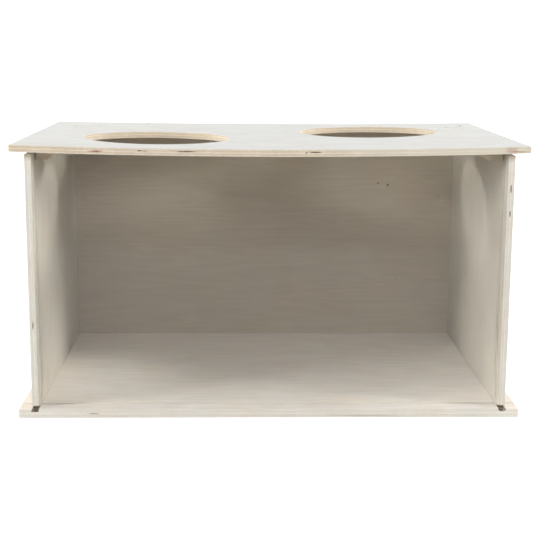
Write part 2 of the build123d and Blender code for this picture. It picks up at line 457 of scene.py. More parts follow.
flat_on = ply.step(facing, 0.35, 0.8)
from_skin = ply.math("MINIMUM", given["Depth"], ply.less(given["Thickness"], given["Depth"]))
outer = ply.step(from_skin, 1.0, 0.5)
skin = ply.product(flat_on, outer)
routed = ply.product(flat_on, ply.less(1.0, outer))
edge = ply.less(1.0, flat_on)
end_wood = ply.step(end_on, 0.25, 0.9)

raw_wood = ply.mix(end_wood, given["Long Grain"], given["End Grain"])
layer_tone = ply.total(1.0, ply.product(edge, ply.swing(random_tone, 0.025)))
cool_wood = ply.mix(skin, raw_wood, given["Face Colour"])
warm_wood = ply.vector("MULTIPLY", cool_wood, (1.0, 0.955, 0.885))
wood = ply.mix(ply.product(warm_patches, given["Warmth"]), cool_wood, warm_wood)
tone = ply.total(
    layer_tone,
    ply.product(ply.swing(streaks, 1.0), given["Streaks"]),
    ply.product(ply.swing(figure, 1.0), given["Figure"], ply.less(1.0, end_wood)),
    ply.product(ply.swing(mottle, 1.0), given["Mottle"]),
    ply.swing(fibres, 0.03),
    ply.product(end_wood, ply.swing(pores, 0.16)),
    ply.product(edge, ply.swing(saw_marks, 0.05)),
    ply.product(flecks, ply.less(end_wood, 1.0), given["Flecks"]),
    ply.product(routed, -0.14),
)
toned_wood = ply.scale(wood, tone)
print("with the colour there are", len(ply.tree.nodes), "nodes")

# %% Plywood group: glue lines and relief
in_layer = ply.less(stack, ply.math("FLOOR", stack))
to_next = ply.math("MINIMUM", in_layer, ply.less(1.0, in_layer))
line_width = ply.product(to_next, layer_thickness)
inside = ply.step(from_skin, 0.7, 1.0)
glue_gaps = ply.step(ply.noise(position, detail=2, size=9), 0.3, 0.55)
glue = ply.product(ply.step(line_width, 0.26, 0.08), edge, inside, glue_gaps)
ply.feed(result["Color"], ply.mix(ply.product(glue, given["Glue Share"]), toned_wood, given["Glue"]))
relief = ply.total(
    ply.swing(fibres, 0.02), ply.swing(streaks, 0.03), ply.product(glue, -0.10),
    ply.product(end_wood, ply.swing(pores, 0.10)), ply.product(edge, ply.swing(random_tone, 0.06)),
    ply.product(routed, ply.swing(pores, 0.25)), ply.product(edge, ply.swing(saw_marks, 0.05)),
)
ply.feed(result["Height"], relief)
ply.feed(result["Roughness"], ply.total(0.68, ply.swing(fibres, 0.06), ply.product(end_wood, 0.1)))
ply.feed(result["Skin"], skin)
PLYWOOD = close_group(ply)

# %% [markdown]
# ## Small flaws in the veneer
#
# Cheap plywood is never quite clean. Three kinds of mark show here. Pin knots and mineral specks are tiny
# dark dots, strewn over a face and thicker in some places than in others. Stains are soft patches where a
# knot was peeled through, and the same soft patches also paint the shade inside open gaps and groove mouths.
# And hands, saws and other boards rub the arrises, the lines where two faces meet, so that they are a little
# tanner than the rest. Each is a mask that a board's material lays over its wood with its own colour.
#
# A point on a box's surface lies on one face, so the nearest of its three distances is nothing. The middle
# one is how far away the nearest arris is.

# %% Speck group
specks, given, result = start_group(
    "Specks",
    {"Position": ("vector", (0, 0, 0)), "Spacing": ("value", 12.0), "Size": ("value", 0.8),
     "Share": ("value", 0.2)},
    {"Mask": "value"},
)
spacing = specks.combine(given["Spacing"], given["Spacing"], given["Spacing"])
in_cells = specks.vector("DIVIDE", given["Position"], spacing)
cells = specks.node("ShaderNodeTexVoronoi", {"Vector": in_cells, "Scale": 1.0}).outputs
chance, girth, depth_of_tone = specks.node("ShaderNodeSeparateColor", {"Color": cells["Color"]}).outputs
distance = specks.product(cells["Distance"], given["Spacing"])
rim = specks.product(given["Size"], specks.total(0.35, girth))
dot = specks.step(distance, rim, specks.product(rim, 0.35))
present = specks.math("LESS_THAN", chance, given["Share"])
specks.feed(result["Mask"], specks.product(dot, present, specks.total(0.35, depth_of_tone)))
SPECKS = close_group(specks)

# %% Stain and painted shade group
stain_and_shade, given, result = start_group(
    "Stain",
    {"Position": ("vector", (0, 0, 0)), "Centre": ("vector", (0, 0, 0)), "Reach": ("vector", (9, 9, 9))},
    {"Mask": "value"},
)
offset = stain_and_shade.vector("DIVIDE", stain_and_shade.vector("SUBTRACT", given["Position"], given["Centre"]), given["Reach"])
ragged = stain_and_shade.swing(stain_and_shade.noise(given["Position"], detail=3, size=2.5), 0.5)
from_centre = stain_and_shade.total(stain_and_shade.vector("LENGTH", offset), ragged)
stain_and_shade.feed(result["Mask"], stain_and_shade.step(from_centre, 1.1, 0.35))
STAIN_AND_SHADE = close_group(stain_and_shade)

# %% Rubbed arris group
arris, given, result = start_group(
    "Rubbed arris",
    {"Place": ("vector", (0, 0, 0)), "Low": ("vector", (-9, -9, -9)), "High": ("vector", (9, 9, 9)),
     "Reach": ("value", 1.2)},
    {"Mask": "value"},
)
from_faces = arris.vector("MINIMUM", arris.vector("SUBTRACT", given["Place"], given["Low"]),
                          arris.vector("SUBTRACT", given["High"], given["Place"]))
first, second, third = arris.separate(from_faces)
least_of_two = arris.math("MINIMUM", first, second)
most_of_two = arris.math("MAXIMUM", first, second)
middle_one = arris.math("MAXIMUM", least_of_two, arris.math("MINIMUM", most_of_two, third))
uneven = arris.step(arris.noise(given["Place"], detail=3, size=6), 0.25, 0.7)
near_arris = arris.step(middle_one, given["Reach"], arris.product(given["Reach"], 0.2))
arris.feed(result["Mask"], arris.product(near_arris, uneven))
ARRIS = close_group(arris)

# %% [markdown]
# ## Which way each board lies
#
# The material needs to know each board's thickness and where its layers start. Both are read from the
# frame, so nothing has to be typed twice: the thickness axis is the board's thinnest side. For the lid the
# board is as thick as the side panels, and what its box has beyond that is how far its corners rise.

# %% Board facts
AXES = (Vector((1, 0, 0)), Vector((0, 1, 0)), Vector((0, 0, 1)))


def board_facts(node):
    """The thickness axis, the lower face on it and the thickness of a flat board, in millimetres."""
    low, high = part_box(node)
    size = high - low
    axis = min(range(3), key=lambda index: size[index])
    return {"axis": AXES[axis], "face": low[axis] / MM, "thickness": size[axis] / MM}


flat_boards = {
    node: board_facts(node) for node in ("base_board", "left_side_panel", "right_side_panel", "back_panel")
}
wall = flat_boards["left_side_panel"]["thickness"]
lid_low, lid_high = (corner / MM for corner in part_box("lid_board"))
back_top = max(v.co.z for v in nodes["lid_board"].data.vertices if v.co.y / MM > lid_high.y - 1.0) / MM
lid = {
    "Seat": lid_low.z, "Half_Width": (lid_high.x - lid_low.x) / 2, "Front": lid_low.y, "Back": lid_high.y,
    "Front_Rise": lid_high.z - lid_low.z - wall, "Back_Rise": back_top - lid_low.z - wall,
}


def lid_underside(x, y):
    """Height of the lid's underside at a place, in millimetres: a dish whose corners stand highest."""
    behind = (y - lid["Front"]) / (lid["Back"] - lid["Front"])
    rise = lid["Front_Rise"] + behind * (lid["Back_Rise"] - lid["Front_Rise"])
    return lid["Seat"] + rise * (x / lid["Half_Width"]) ** 2


for name, facts in flat_boards.items():
    print(name, "is", round(facts["thickness"], 2), "mm thick from", round(facts["face"], 1))
rises = [round(lid[end], 1) for end in ("Front_Rise", "Back_Rise")]
print("the lid's corners rise", rises, "mm, in front and behind")

# %% [markdown]
# ## Where the wood is open
#
# Inner veneers are laid in strips. Where two strips don't quite meet, the saw opens a dark slot in the edge
# of the board. The real box shows five in the lid's front edge, three in the side panels and a faint one in
# the base. They are noted here once, because two steps need them: the finish paints shade on the wood inside
# them, and a later step cuts them out. The edges that the photograph doesn't show get a few of the same kind
# by chance.
#
# A strip's gap opens mostly on an edge that cuts across its grain. So on the lid's front and back they lie
# in the second and fourth layers, and on its ends in the middle one. The base's faint one is an exception.

# %% Open gaps
LAYERS = 5
X, Y, Z = AXES
base_low, base_high = (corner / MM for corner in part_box("base_board"))
panel_low, panel_high = (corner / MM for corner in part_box("left_side_panel"))
panel_middles = {
    name: flat_boards[name]["face"] + wall / 2 for name in ("left_side_panel", "right_side_panel")
}
gaps = []


def layer_middle(number, thickness):
    """How deep the middle of a layer lies, counted from 0 at the board's lower face."""
    return (number + 0.5) * thickness / LAYERS


def open_gap(node, mouth, inward, along, length, height):
    """Notes one gap: its board, the middle of its mouth, its two directions and its size in millimetres."""
    gaps.append({
        "node": node, "mouth": Vector(mouth), "inward": inward, "along": along, "length": length,
        "height": height,
    })


def panel_gap(name, z, length, height):
    """A gap in the front edge of a side panel. It runs up the edge, so its height lies across the edge."""
    open_gap(name, (panel_middles[name], panel_low.y, z), Y, Z, length, height)


def lid_gap(x, y, layer, inward, along, length, height, lower=0.0):
    """A gap in a layer of the lid's edge. The photograph shows its own ones lower than the layer's middle."""
    level = lid_underside(x, y) + layer_middle(layer, wall) - lower
    open_gap("lid_board", (x, y, level), inward, along, length, height)


LID_FRONT_GAPS = (
    (-94.0, 22.5, 0.9, 0.6), (49.2, 14.5, 0.9, 0.5), (39.2, 1.8, 1.1, 1.1), (-145.8, 5.0, 1.0, 0.5),
    (-139.6, 5.5, 0.4, 0.6),
)
for x, length, height, lower in LID_FRONT_GAPS:
    lid_gap(x, lid["Front"], 3, Y, X, length, height, lower)
panel_gap("right_side_panel", 267.1, 9.0, 0.9)
panel_gap("right_side_panel", 238.6, 6.9, 0.9)
panel_gap("left_side_panel", 108.8, 10.5, 0.8)
open_gap("base_board", (-203.7, base_low.y, layer_middle(2, base_high.z)), Y, X, 12.6, 0.45)

dice = random.Random(41)
for x in (dice.uniform(-250, -40), dice.uniform(20, 250)):
    lid_gap(x, lid["Back"], dice.choice((1, 3)), -Y, X, dice.uniform(6, 18), dice.uniform(0.5, 1.1))
for end in (-1, 1):
    y = dice.uniform(-120, 120)
    lid_gap(end * lid["Half_Width"], y, 2, -end * X, Y, dice.uniform(5, 14), dice.uniform(0.5, 0.9))
for x in (dice.uniform(-240, -60), dice.uniform(40, 240)):
    level = layer_middle(dice.choice((1, 3)), base_high.z)
    open_gap("base_board", (x, base_high.y, level), -Y, X, dice.uniform(6, 16), dice.uniform(0.5, 1.2))
print(len(gaps), "open gaps, the longest", max(noted["length"] for noted in gaps), "mm")

# %% [markdown]
# ## The boards' finishes
#
# The side panels, the back and the base are pale sanded plywood. The faces of the side panels and the back
# are made darker than the base's, in part as painted shade for the inside of the box, and the back's is a
# little warmer as well. The lid is bleached whiter still, while its raw edge is tanner and shows its layers
# most. One function lays the plywood and its specks into a material, and each board gets its own grain
# direction, colours and flaws.

# %% Plywood materials
GLUE_BROWN = paint(158, 128, 94)
SPECK_GREY = paint(112, 104, 94)
STAIN_RED = paint(160, 106, 68)
# Painted shade: the dark brown inside open gaps, groove mouths and the panels' feet, where the hollows lie in
# shade.
HOLLOW_SHADE_BROWN = paint(82, 58, 32)
RUBBED_TAN = paint(196, 178, 150)


def plywood_material(name, depth_outputs, through, thickness, grain, cross, look, speck_share):
    """A plywood finish up to its colour: its material, wiring, shader, that colour and the position."""
    material, wiring, shader = new_material(name)
    depth = depth_outputs(wiring)
    place = depth["Position"]
    wood = place_group(
        wiring, PLYWOOD, Position=place, Depth=depth["Depth"], Normal=depth["Normal"], Through=through,
        Thickness=thickness, Layers=LAYERS, Grain=grain, Cross=cross, Glue=GLUE_BROWN, **look)
    fine = place_group(wiring, SPECKS, Position=place, Spacing=9.0, Size=0.9, Share=speck_share)
    coarse = place_group(wiring, SPECKS, Position=place, Spacing=47.0, Size=1.5, Share=0.16)
    dots = wiring.product(wiring.math("MAXIMUM", fine["Mask"], coarse["Mask"]), wood["Skin"], 0.55)
    colour = wiring.mix(dots, wood["Color"], SPECK_GREY)
    wiring.fill(shader, {
        "Roughness": wood["Roughness"], "Specular IOR Level": 0.2,
        "Normal": wiring.bump(wood["Height"], MM, strength=0.7),
    })
    return material, wiring, shader, colour, place


def rub_arrises(wiring, place, low, high, colour, strength):
    """Lays the tan of rubbed arrises over a colour. The place and the two corners are in millimetres."""
    mask = place_group(wiring, ARRIS, Place=place, Low=low, High=high)["Mask"]
    return wiring.mix(wiring.product(mask, strength), colour, RUBBED_TAN)


def lay_soft_patches(wiring, position, colour, soft_patches):
    """Lays stains and painted shade on a colour: each has a centre, a reach on each axis, a colour and a
    strength.
    """
    for centre, reach, tint, strength in soft_patches:
        mask = place_group(wiring, STAIN_AND_SHADE, Position=position, Centre=centre, Reach=reach)["Mask"]
        colour = wiring.mix(wiring.product(mask, strength), colour, tint)
    return colour


SHADE_PAST_END = 0.6
SHADE_PAST_SIDE = 0.35
SHADE_CENTRE_DEPTH = 2.0
SHADE_REACH_INWARD = 8.0


def gap_shade_patches(node):
    """Painted shade in and around a board's open gaps, as lay_soft_patches takes them."""
    soft_patches = []
    for noted in gaps:
        if noted["node"] == node:
            sizes = (
                (noted["along"], noted["length"] / 2 + SHADE_PAST_END),
                (noted["inward"], SHADE_REACH_INWARD),
                (noted["inward"].cross(noted["along"]), noted["height"] / 2 + SHADE_PAST_SIDE),
            )
            reach = [sum(abs(way[axis]) * size for way, size in sizes) for axis in range(3)]
            centre = noted["mouth"] + SHADE_CENTRE_DEPTH * noted["inward"]
            soft_patches.append((centre, reach, HOLLOW_SHADE_BROWN, 0.9))
    return soft_patches


def dress(node, material):
    """Gives a CAD node one material in every slot."""
    data = nodes[node].data
    data.materials.clear()
    data.materials.append(material)
    print(node, "wears", material.name)


print("dark patches in open gaps:", {node: len(gap_shade_patches(node)) for node in flat_boards})

# %% Colours and flaws of the flat boards
# In part painted shade: the walls' faces are darker than the base's for the shade inside the box, and the
# back's is darker and warmer still.
WALL_SHADED_LOOK = {
    "Face_Colour": paint(200, 193, 180), "Long_Grain": paint(232, 228, 218),
    "End_Grain": paint(227, 221, 210), "Streaks": 0.10, "Figure": 0.025, "Mottle": 0.06,
    "Glue_Share": 0.15, "Warmth": 0.45, "Flecks": 0.06,
}
BACK_SHADED_LOOK = {**WALL_SHADED_LOOK, "Face_Colour": paint(198, 187, 169)}
BASE_LOOK = {
    **WALL_SHADED_LOOK, "Face_Colour": paint(242, 235, 226), "Long_Grain": paint(240, 235, 225),
    "End_Grain": paint(235, 229, 218), "Glue_Share": 0.08,
}
WALL_SPECKS = 0.03
WALL_RUBBED = 0.3
BASE_RUBBED = 0.1
# The groove mouths' dark brown is partly the torn inner plies' own brown and partly painted shade of the
# hollow.
mouth_shade_and_tear = [
    ((middle, base_low.y + 6.5, base_high.z - 1.8), (5.2, 7.0, 2.8), HOLLOW_SHADE_BROWN, 0.85)
    for middle in panel_middles.values()
]


def panel_shade_and_stains(name):
    """A side panel's foot gets painted shade where it stands back in its groove, and its top is tanned by the
    lid.
    """
    middle = panel_middles[name]
    foot_shade = ((middle, panel_low.y + 6.5, base_high.z), (6.5, 5.0, 3.4), HOLLOW_SHADE_BROWN, 0.85)
    top = ((middle, panel_low.y, panel_high.z), (9.0, 6.0, 7.0), RUBBED_TAN, 0.7)
    return [foot_shade, top]


back_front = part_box("back_panel")[0].y / MM
panel_dots = [
    ((161.1, back_front, 229.2), (2.0, 3.0, 2.2), SPECK_GREY, 0.9),
    ((175.1, back_front, 226.5), (2.3, 3.0, 2.4), SPECK_GREY, 1.0),
    ((248.1, back_front, 210.2), (3.5, 3.0, 4.0), STAIN_RED, 0.25),
]
glue_streak = ((108.0, base_low.y, 2.4), (52.0, 4.0, 0.7), RUBBED_TAN, 0.8)
print("stains from the photograph:", len(mouth_shade_and_tear) + 1, "on the base,", len(panel_dots), "on the back")


# %% The flat boards' finishes
def finish_flat_board(name, grain, cross, look, rubbed, soft_patches):
    """Dresses a flat board. The stains given are laid after the dark patches of its open gaps."""
    facts = flat_boards[name]

    def flat_depth(wiring):
        return place_group(wiring, FLAT_DEPTH, Face=facts["face"], Axis=facts["axis"])

    material, wiring, shader, colour, position = plywood_material(
        name + "_plywood", flat_depth, facts["axis"], facts["thickness"], grain, cross, look, WALL_SPECKS)
    low, high = (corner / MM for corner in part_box(name))
    colour = rub_arrises(wiring, position, low, high, colour, rubbed)
    colour = lay_soft_patches(wiring, position, colour, gap_shade_patches(name) + soft_patches)
    wiring.feed(shader.inputs["Base Color"], colour)
    dress(name, material)


finish_flat_board("base_board", X, Y, BASE_LOOK, BASE_RUBBED, mouth_shade_and_tear + [glue_streak])
for name in panel_middles:
    finish_flat_board(name, Z, Y, WALL_SHADED_LOOK, WALL_RUBBED, panel_shade_and_stains(name))
finish_flat_board("back_panel", X, Z, BACK_SHADED_LOOK, WALL_RUBBED, panel_dots)

# %% The lid's finish and flaws
LID_LOOK = {
    "Face_Colour": paint(237, 237, 234), "Long_Grain": paint(232, 219, 201),
    "End_Grain": paint(218, 202, 178), "Streaks": 0.07, "Figure": 0.014, "Mottle": 0.08,
    "Glue_Share": 0.38, "Warmth": 0.4, "Flecks": 0.05,
}
LID_SPECKS = 0.07
LID_RUBBED = 0.5


def lid_depth(wiring):
    """Places the lid's depth group, fed with the lid's shape."""
    return place_group(wiring, DISHED_DEPTH, **lid)


material, wiring, shader, colour, position = plywood_material(
    "lid_board_plywood", lid_depth, Z, wall, X, Y, LID_LOOK, LID_SPECKS)


def on_lid(x, y, depth):
    """A point of the lid as far above its dished underside as depth says."""
    return (x, y, lid_underside(x, y) + depth)


def pin_knot(x, y, width, strength):
    """A small dark knot in the lid's top face, longer from front to back than it is wide."""
    return (on_lid(x, y, wall), (width, 2.6 * width, 2.0), SPECK_GREY, strength)


PALE_EDGE = paint(230, 224, 209)
lid_stains_and_shade = [
    (on_lid(230.0, lid["Front"], wall / 2), (190.0, 5.0, 12.0), PALE_EDGE, 0.55),
    (on_lid(-194.5, lid["Front"], 3.5), (10.0, 6.0, 1.2), STAIN_RED, 0.8),
    # A small void in the front edge whose dark inside is painted shade, not cut.
    (on_lid(-193.0, lid["Front"], 3.0), (2.6, 6.0, 0.7), HOLLOW_SHADE_BROWN, 0.7),
    (on_lid(268.0, lid["Front"], 4.0), (9.0, 6.0, 4.5), STAIN_RED, 0.35),
    (on_lid(276.0, lid["Front"], 2.4), (12.0, 6.0, 0.9), STAIN_RED, 0.6),
    pin_knot(267, 131, 2.6, 1.0), pin_knot(-255, 97, 1.5, 0.8), pin_knot(-224, 116, 1.2, 0.7),
    pin_knot(26, 61, 1.3, 0.6),
]
dice = random.Random(23)
lid_stains_and_shade += [
    pin_knot(dice.uniform(224, 264), dice.uniform(50, 125), dice.uniform(0.9, 1.6), dice.uniform(0.6, 0.9))
    for _ in range(11)
]
across_lid, along_lid, _ = wiring.separate(position)
laid_flat = wiring.combine(across_lid, along_lid, lid_depth(wiring)["Depth"])
flat_low = (-lid["Half_Width"], lid["Front"], 0)
flat_high = (lid["Half_Width"], lid["Back"], wall)
colour = rub_arrises(wiring, laid_flat, flat_low, flat_high, colour, LID_RUBBED)
soft_patches = lid_stains_and_shade + gap_shade_patches("lid_board")
wiring.feed(shader.inputs["Base Color"], lay_soft_patches(wiring, position, colour, soft_patches))
dress("lid_board", material)

# %% [markdown]
# ## The planed cleats
#
# The two battens under the lid are sawn from softwood, and each year's growth shows as a band that darkens
# slowly and ends sharply. In the tree those bands are long cylinders, so the solid finish measures the
# distance from a line along the batten, the heart of the tree, and repeats the band with it. On the ends it
# shows arcs, and on the long faces lines, as on a real batten.

# %% Softwood group
softwood, given, result = start_group(
    "Softwood",
    {"Heart": ("vector", (30, 0, 40)), "Ring": ("value", 2.4), "Early": ("colour", (0.6, 0.5, 0.4, 1)),
     "Late": ("colour", (0.4, 0.3, 0.2, 1))},
    {"Color": "colour", "Height": "value"},
)
from_heart = softwood.vector("SUBTRACT", softwood.in_millimetres(), given["Heart"])
over_x, along_batten, over_z = softwood.separate(from_heart)
drawn_out = softwood.combine(over_x, softwood.over(along_batten, 14.0), over_z)
sway = softwood.swing(softwood.noise(drawn_out, detail=2, size=7), 1.4)
radius = softwood.total(softwood.vector("LENGTH", softwood.combine(over_x, 0.0, over_z)), sway)
turn = softwood.over(radius, given["Ring"])
season = softwood.less(turn, softwood.math("FLOOR", turn))
late = softwood.product(softwood.math("POWER", season, 3.0), softwood.step(season, 1.0, 0.9))
needles = softwood.noise(
    softwood.combine(over_x, softwood.over(along_batten, 20.0), over_z), detail=3, size=0.5)
banded = softwood.mix(softwood.product(late, 0.8), given["Early"], given["Late"])
tone = softwood.total(1.0, softwood.swing(needles, 0.10))
softwood.feed(result["Color"], softwood.scale(banded, tone))
relief = softwood.total(softwood.swing(needles, 0.05), softwood.product(late, 0.04))
softwood.feed(result["Height"], relief)
SOFTWOOD = close_group(softwood)

# %% The two cleats
EARLY_WOOD = paint(238, 222, 194)
LATE_WOOD = paint(208, 178, 142)
CLEAT_HEARTS = {"left_lid_cleat": (-236.0, 0.0, 262.0), "right_lid_cleat": (284.0, 0.0, 330.0)}
for name, heart in CLEAT_HEARTS.items():
    material, wiring, shader = new_material(name + "_softwood")
    wood = place_group(wiring, SOFTWOOD, Heart=heart, Ring=2.3, Early=EARLY_WOOD, Late=LATE_WOOD)
    wiring.fill(shader, {
        "Base Color": wood["Color"], "Roughness": 0.6, "Specular IOR Level": 0.35,
        "Normal": wiring.bump(wood["Height"], MM, strength=0.8),
    })
    dress(name, material)

# %% [markdown]
# ## The clear sheet
#
# Acrylic lets nearly all light through and bends it a little less than window glass, by 1.49. A fully
# traced pane would keep the lamps out of the box, because a shadow ray stops at glass, so for those rays
# alone the sheet is swapped for a transparent one. The lamps stand at a slant to it, where its two faces
# throw back about a seventh of the light, and dust and fine scratches take as much again, so the stand-in
# is a pale grey. What the eye sees still goes through the real 3 mm of acrylic.

# %% Acrylic
CLEAR_TINT = (0.985, 0.99, 0.99, 1)
STAND_IN_GREY = (0.73, 0.735, 0.735, 1)
material, wiring, shader = new_material("clear_acrylic")
wiring.fill(shader, {
    "Base Color": CLEAR_TINT, "Transmission Weight": 1.0, "Roughness": 0.0, "IOR": 1.49,
    "Specular IOR Level": 0.3,
})
open_air = wiring.node("ShaderNodeBsdfTransparent", {"Color": STAND_IN_GREY})
for_lamps = wiring.node("ShaderNodeLightPath").outputs["Is Shadow Ray"]
choice = wiring.node("ShaderNodeMixShader", {0: for_lamps, 1: shader.outputs[0], 2: open_air.outputs[0]})
wiring.feed(wiring.tree.nodes["Material Output"].inputs["Surface"], choice.outputs[0])
dress("front_pane", material)

# %% [markdown]
# ## The screws
#
# The screws are plain steel with a thin zinc coat, which is a metal mirror made soft by fine crystals. Its
# brightness and roughness vary from spot to spot, and it is faintly yellow and blue where it was
# passivated.

# %% Zinc
ZINC_COOL = paint(196, 199, 202)
ZINC_WARM = paint(206, 200, 182)
material, wiring, shader = new_material("zinc_plate")
position = wiring.in_millimetres()
tarnish = wiring.step(wiring.noise(position, detail=3, size=2.2), 0.35, 0.65)
crystals = wiring.noise(position, detail=4, size=0.4)
wiring.fill(shader, {
    "Base Color": wiring.mix(tarnish, ZINC_COOL, ZINC_WARM), "Metallic": 1.0,
    "Roughness": wiring.total(0.34, wiring.swing(crystals, 0.12)),
    "Normal": wiring.bump(crystals, 0.02 * MM),
})
dress("base_screws", material)
dress("cleat_screws", material)

# %% [markdown]
# ## Cutting the gaps and chips
#
# A dark line painted on the edge would do from afar, but a real hollow catches light and shade from any
# side. So each gap gets a flat plug that narrows inward, and each corner where a groove runs out at the
# front gets a rough lump where the cutter broke it. All plugs of a board form one mesh, which a boolean
# takes out of the wood. The plugs themselves are never rendered.
#
# The frame's meshes have doubled points along their creases, and a boolean needs closed solids. So a weld
# comes first. Afterwards the old shading no longer fits, and a small node tree marks the creases afresh
# before a last modifier evens out the flat faces.

# %% Plugs
PLUG_SIDES = 16
PLUG_SECTIONS = ((-1.0, 1.0), (0.0, 1.0), (3.0, 0.8), (5.5, 0.35))
WELD_REACH = 0.002
CREASE_ANGLE = math.radians(30)


def join_rings(shape, rings):
    """Joins each ring of points to the next one with four-sided faces."""
    for near, far in zip(rings, rings[1:]):
        for index in range(len(near)):
            after = (index + 1) % len(near)
            shape.faces.new((near[index], near[after], far[after], far[index]))


def gap_plug(plugs, noted, dice):
    """Adds one flat, ragged plug. It enters at the gap's mouth and narrows inward."""
    upward = noted["inward"].cross(noted["along"])
    ragged = [dice.uniform(0.75, 1.15) for _ in range(PLUG_SIDES)]
    rings = []
    for depth, share in PLUG_SECTIONS:
        ring = []
        for side in range(PLUG_SIDES):
            angle = math.tau * side / PLUG_SIDES
            out = share * noted["length"] / 2 * math.cos(angle)
            blunt = math.copysign(abs(math.sin(angle)) ** 0.3, math.sin(angle))
            rise = share * noted["height"] / 2 * blunt * ragged[side]
            point = noted["mouth"] + noted["along"] * out + upward * rise + noted["inward"] * depth
            ring.append(plugs.verts.new(point * MM))
        rings.append(ring)
    join_rings(plugs, rings)
    plugs.faces.new(list(reversed(rings[0])))
    plugs.faces.new(rings[-1])


def chip_plug(plugs, corner, reach, dice):
    """Adds one rough lump around a corner. Its reach on each axis is in millimetres."""
    for vert in bmesh.ops.create_icosphere(plugs, subdivisions=2, radius=1.0)["verts"]:
        rough = vert.co * dice.uniform(0.7, 1.1)
        vert.co = (corner + Vector([rough[axis] * reach[axis] for axis in range(3)])) * MM


print("a gap's plug has", PLUG_SIDES * len(PLUG_SECTIONS), "points")


# %% Crease shading
def crease_shading():
    """A node tree that forgets a mesh's old normals and marks every sharp edge as a crease."""
    tree = bpy.data.node_groups.new("Crease shading", "GeometryNodeTree")
    tree.interface.new_socket("Geometry", in_out="INPUT", socket_type="NodeSocketGeometry")
    tree.interface.new_socket("Geometry", in_out="OUTPUT", socket_type="NodeSocketGeometry")
    steps = Wiring(tree)
    given = steps.node("NodeGroupInput").outputs["Geometry"]
    forgot = steps.node("GeometryNodeRemoveAttribute", {"Geometry": given, "Name": "custom_normal"})
    smooth = steps.node("GeometryNodeSetShadeSmooth", {"Geometry": forgot.outputs[0], "Shade Smooth": True})
    bend = steps.node("GeometryNodeInputMeshEdgeAngle").outputs["Unsigned Angle"]
    sharp = steps.node("FunctionNodeCompare", {"A": bend, "B": CREASE_ANGLE}, operation="GREATER_THAN")
    inputs = {"Geometry": smooth.outputs[0], "Selection": sharp.outputs[0], "Shade Smooth": False}
    marked = steps.node("GeometryNodeSetShadeSmooth", inputs, domain="EDGE")
    steps.node("NodeGroupOutput", {"Geometry": marked.outputs[0]})
    return tree


# %% Cut the boards
BODIES = {"lid_board": "lid", "base_board": "box", "left_side_panel": "box", "right_side_panel": "box"}
CREASES = crease_shading()
dice = random.Random(7)
plug_meshes = {name: bmesh.new() for name in BODIES}
for noted in gaps:
    gap_plug(plug_meshes[noted["node"]], noted, dice)

for name, middle in panel_middles.items():
    for side in (-1, 1):
        inner_right = name == "right_side_panel" and side < 0
        wide, tall = (3.0, 1.9) if inner_right else (dice.uniform(0.8, 1.6), dice.uniform(0.5, 1.0))
        corner = Vector((middle + side * (wall / 2 + 0.2), base_low.y, base_high.z))
        chip_plug(plug_meshes["base_board"], corner, (wide, dice.uniform(1.0, 1.8), tall), dice)

for name, plugs in plug_meshes.items():
    bmesh.ops.recalc_face_normals(plugs, faces=plugs.faces)
    plug_data = bpy.data.meshes.new(name + "_plugs")
    plugs.to_mesh(plug_data)
    plugs.free()
    plug_piece = bpy.data.objects.new(name + "_plugs", plug_data)
    scene.collection.objects.link(plug_piece)
    plug_piece.hide_render = True
    plug_piece.display_type = "WIRE"
    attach(plug_piece, BODIES[name])
    board = nodes[name]
    weld = board.modifiers.new("close the creases", "WELD")
    weld.merge_threshold = WELD_REACH * MM
    cut = board.modifiers.new("gaps and chips", "BOOLEAN")
    cut.operation = "DIFFERENCE"
    cut.solver = "EXACT"
    cut.object = plug_piece
    shade = board.modifiers.new("crease shading", "NODES")
    shade.node_group = CREASES
    even = board.modifiers.new("even out flat faces", "WEIGHTED_NORMAL")
    even.keep_sharp = True
    print(name, "loses", len(plug_data.polygons), "plug faces")

# %% [markdown]
# ## Torn fibres in the groove mouths
#
# The grooves for the side panels run out at the base's front edge, and the cutter leaves brown torn fibres
# in their mouths. A fibre is a flat strip that is stiff at its root and bends to a point. A few dozen of
# them in random sizes, rooted in the groove's floor and walls, look torn where a painted patch would look
# smooth.

# %% Torn fibres
def splinter(fibres, root, tip, side, width, bend):
    """Adds one torn fibre: a four-sided strip from root to tip that bows by bend and ends in a point."""
    way = tip - root
    flat = side.normalized()
    thick = way.cross(flat).normalized()
    rings = []
    for share in (0.0, 0.45, 0.8):
        middle = root + way * share + thick * bend * math.sin(math.pi * share)
        half = width / 2 * (1 - 0.75 * share)
        corners = ((-1, -0.4), (1, -0.4), (1, 0.4), (-1, 0.4))
        places = [middle + flat * half * u + thick * half * v for u, v in corners]
        rings.append([fibres.verts.new(place * MM) for place in places])
    point = fibres.verts.new(tip * MM)
    join_rings(fibres, rings)
    for index in range(4):
        fibres.faces.new((rings[-1][index], rings[-1][(index + 1) % 4], point))
    fibres.faces.new(list(reversed(rings[0])))


def add_piece(name, shape, body, material):
    """Makes a bmesh into a piece that rides a body and wears the given material."""
    bmesh.ops.recalc_face_normals(shape, faces=shape.faces)
    data = bpy.data.meshes.new(name)
    shape.to_mesh(data)
    shape.free()
    data.materials.append(material)
    piece = bpy.data.objects.new(name, data)
    scene.collection.objects.link(piece)
    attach(piece, body)
    print(name, "has", len(data.polygons), "faces")


TORN_LIGHT = paint(150, 106, 66)
TORN_DARK = paint(78, 54, 36)
torn_material, wiring, shader = new_material("torn_fibres")
position = wiring.in_millimetres()
patchy = wiring.step(wiring.noise(position, detail=3, size=1.6), 0.35, 0.65)
hairs = wiring.noise(position, detail=2, size=0.2)
torn_tone = wiring.total(1.0, wiring.swing(hairs, 0.2))
wiring.fill(shader, {
    "Base Color": wiring.scale(wiring.mix(patchy, TORN_DARK, TORN_LIGHT), torn_tone),
    "Roughness": wiring.total(0.72, wiring.swing(hairs, 0.1)),
    "Normal": wiring.bump(hairs, 0.05 * MM),
})
print(torn_material.name, "takes", len(wiring.tree.nodes), "nodes")

